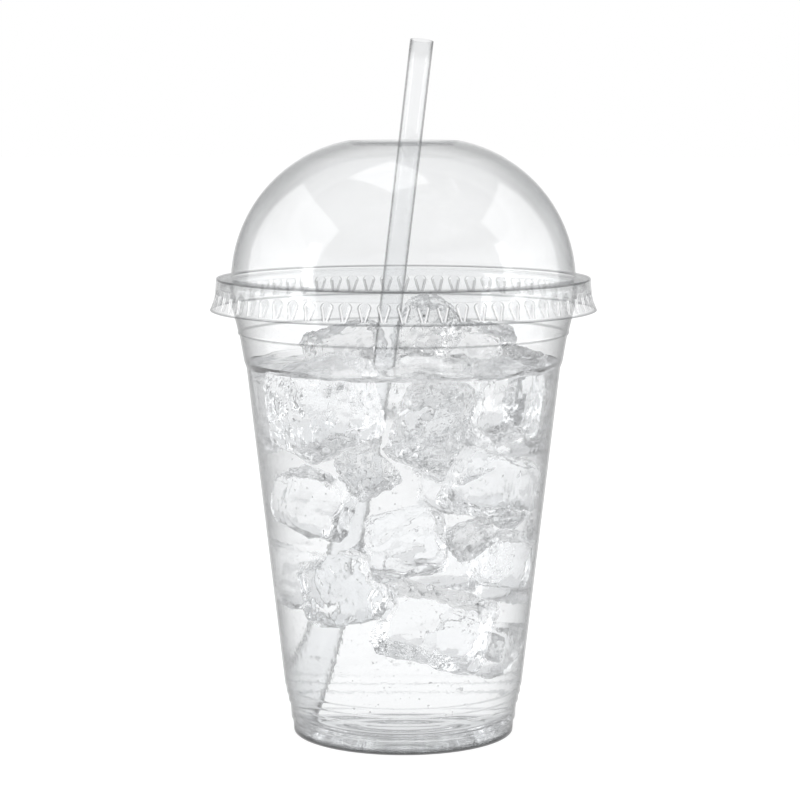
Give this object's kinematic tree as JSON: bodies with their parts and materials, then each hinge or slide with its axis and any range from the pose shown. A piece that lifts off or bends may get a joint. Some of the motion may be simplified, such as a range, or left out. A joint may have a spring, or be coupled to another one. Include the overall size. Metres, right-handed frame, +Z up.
{
  "type": "plastic cup with lid",
  "caption": "Clear plastic cold-drink cup with a press-fit dome lid, a straight straw through the lid's hole, and ice floating in water.",
  "frame": {"origin": "middle of the foot ring, on the table the cup stands on", "axes": "+Z up through the cup and the lid; -Y is the side the straw leans to"},
  "size_m": [0.102, 0.102, 0.1839],
  "materials": {
    "cup_plastic": "clear glossy thermoformed plastic, 0.4 mm",
    "lid_plastic": "clear glossy thermoformed plastic, 0.38 mm",
    "straw_plastic": "clear extruded plastic tube",
    "water": "clear still water with small bubbles",
    "ice": "clear ice with cloudy cores, cracks and frosted faces"
  },
  "bodies": {
    "cup": {"cup": "cup_plastic", "water": "water", "ice_01": "ice", "ice_02": "ice", "ice_03": "ice", "ice_04": "ice", "ice_05": "ice", "ice_06": "ice", "ice_07": "ice", "ice_08": "ice", "ice_09": "ice", "ice_10": "ice", "ice_11": "ice", "ice_12": "ice", "ice_13": "ice", "ice_14": "ice", "ice_15": "ice", "ice_16": "ice", "ice_17": "ice", "ice_18": "ice", "ice_19": "ice", "ice_20": "ice", "ice_21": "ice", "ice_22": "ice", "ice_23": "ice", "ice_24": "ice", "ice_25": "ice", "ice_26": "ice"},
    "lid": {"dome_lid": "lid_plastic"},
    "straw": {"straw": "straw_plastic"}
  },
  "joints": [
    {"name": "lid_lift", "type": "slide", "parent": "cup", "child": "lid", "axis": [0, 0, 1], "range_m": [0, 0.03], "deforming": ["water"]},
    {"name": "straw_pull", "type": "slide", "parent": "lid", "child": "straw", "axis": [0.1131, -0.1771, 0.9777], "range_m": [0, 0.165], "deforming": ["water"]}
  ]
}
